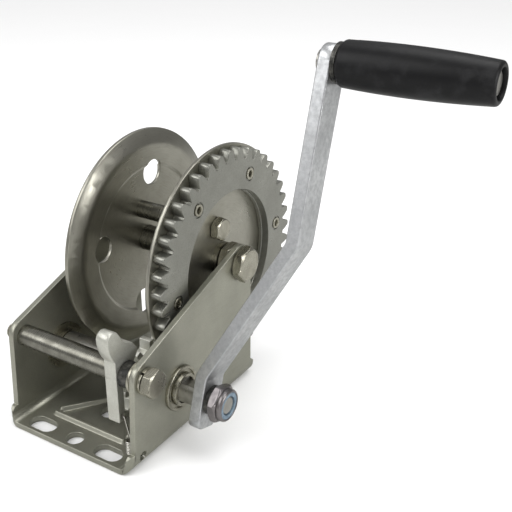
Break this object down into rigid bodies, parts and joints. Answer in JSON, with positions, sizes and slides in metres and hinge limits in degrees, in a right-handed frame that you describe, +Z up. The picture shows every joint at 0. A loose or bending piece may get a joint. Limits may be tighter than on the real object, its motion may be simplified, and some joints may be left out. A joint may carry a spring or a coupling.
{
  "type": "boat trailer winch",
  "caption": "Hand winch with a folded steel frame, flanged rope drum, spur gear reduction, tilting ratchet pawl and a cranked handle with a turning grip.",
  "frame": {"origin": "underside of the base, mid-width, on the line of the two front mounting slots", "axes": "+X towards the crank side, +Y to the rear, +Z up from the mounting face"},
  "size_m": [0.2145, 0.1566, 0.1943],
  "materials": {
    "frame_zinc": "satin zinc plated sheet",
    "drum_zinc": "satin zinc plated sheet",
    "gear_zinc": "satin zinc plated, stamped",
    "fastener_zinc": "bright zinc plated",
    "rod_zinc": "bright zinc plated tube",
    "shaft_steel": "turned steel",
    "pawl_zinc": "satin zinc plated, blanked edge",
    "crank_zinc": "mottled bright zinc",
    "nut_grey": "warm grey zinc",
    "dark_steel": "dark oxide",
    "insert_nylon": "pale blue nylon",
    "grip_plastic": "black moulded plastic, fine grain",
    "spring_steel": "zinc plated wire"
  },
  "bodies": {
    "frame": {"frame": "frame_zinc", "bushing_left": "fastener_zinc", "bushing_right": "fastener_zinc", "drum_shaft_bolt": "fastener_zinc", "drum_shaft_nut": "fastener_zinc", "drum_spacer_nut": "fastener_zinc", "drum_left_spacer": "rod_zinc", "pawl_pivot_bolt": "fastener_zinc", "pivot_lock_washer": "fastener_zinc", "pivot_collar": "rod_zinc", "pawl_spacer_tube": "rod_zinc", "pawl_side_spacer": "dark_steel", "pivot_inner_washer": "fastener_zinc", "pawl_spring": "spring_steel"},
    "drum": {"drum_flange_left": "drum_zinc", "drum_flange_right": "drum_zinc", "drum_gear": "gear_zinc", "gear_rivets": "fastener_zinc", "drum_hub_tube": "rod_zinc", "hub_collar_left": "fastener_zinc", "hub_collar_right": "fastener_zinc", "rope_anchor_bolt": "fastener_zinc", "rope_anchor_sleeve": "rod_zinc", "rope_anchor_nut": "fastener_zinc"},
    "crank": {"drive_shaft": "shaft_steel", "shaft_retaining_ring": "dark_steel", "pinion_gear": "shaft_steel", "ratchet_wheel": "pawl_zinc", "shaft_collar_inner": "shaft_steel", "shaft_collar_outer": "shaft_steel", "shaft_sleeve": "shaft_steel", "crank_arm": "crank_zinc", "crank_washer": "dark_steel", "crank_nut": "nut_grey", "crank_nut_insert": "insert_nylon", "grip_pin": "shaft_steel", "grip_washer": "dark_steel"},
    "grip": {"grip": "grip_plastic"},
    "pawl": {"pawl": "pawl_zinc"}
  },
  "joints": [
    {"name": "drum_spin", "type": "hinge", "parent": "frame", "child": "drum", "pos_m": [0, 0.0894, 0.0732], "axis": [1, 0, 0], "continuous": true},
    {"name": "crank_spin", "type": "hinge", "parent": "frame", "child": "crank", "pos_m": [0, 0.03407, 0.02791], "axis": [1, 0, 0], "continuous": true},
    {"name": "grip_spin", "type": "hinge", "parent": "crank", "child": "grip", "pos_m": [0.13, 0.08405, 0.18359], "axis": [1, 0, 0], "continuous": true},
    {"name": "pawl_tilt", "type": "hinge", "parent": "frame", "child": "pawl", "pos_m": [0.0251, 0.0088, 0.0462], "axis": [1, 0, 0], "range_deg": [-43, 4], "stiffness_Nm_per_rad": 0.02, "deforming": ["pawl_spring"]}
  ],
  "couplings": [
    {"joint": "crank_spin", "follows": "drum_spin", "ratio": -4.1}
  ]
}
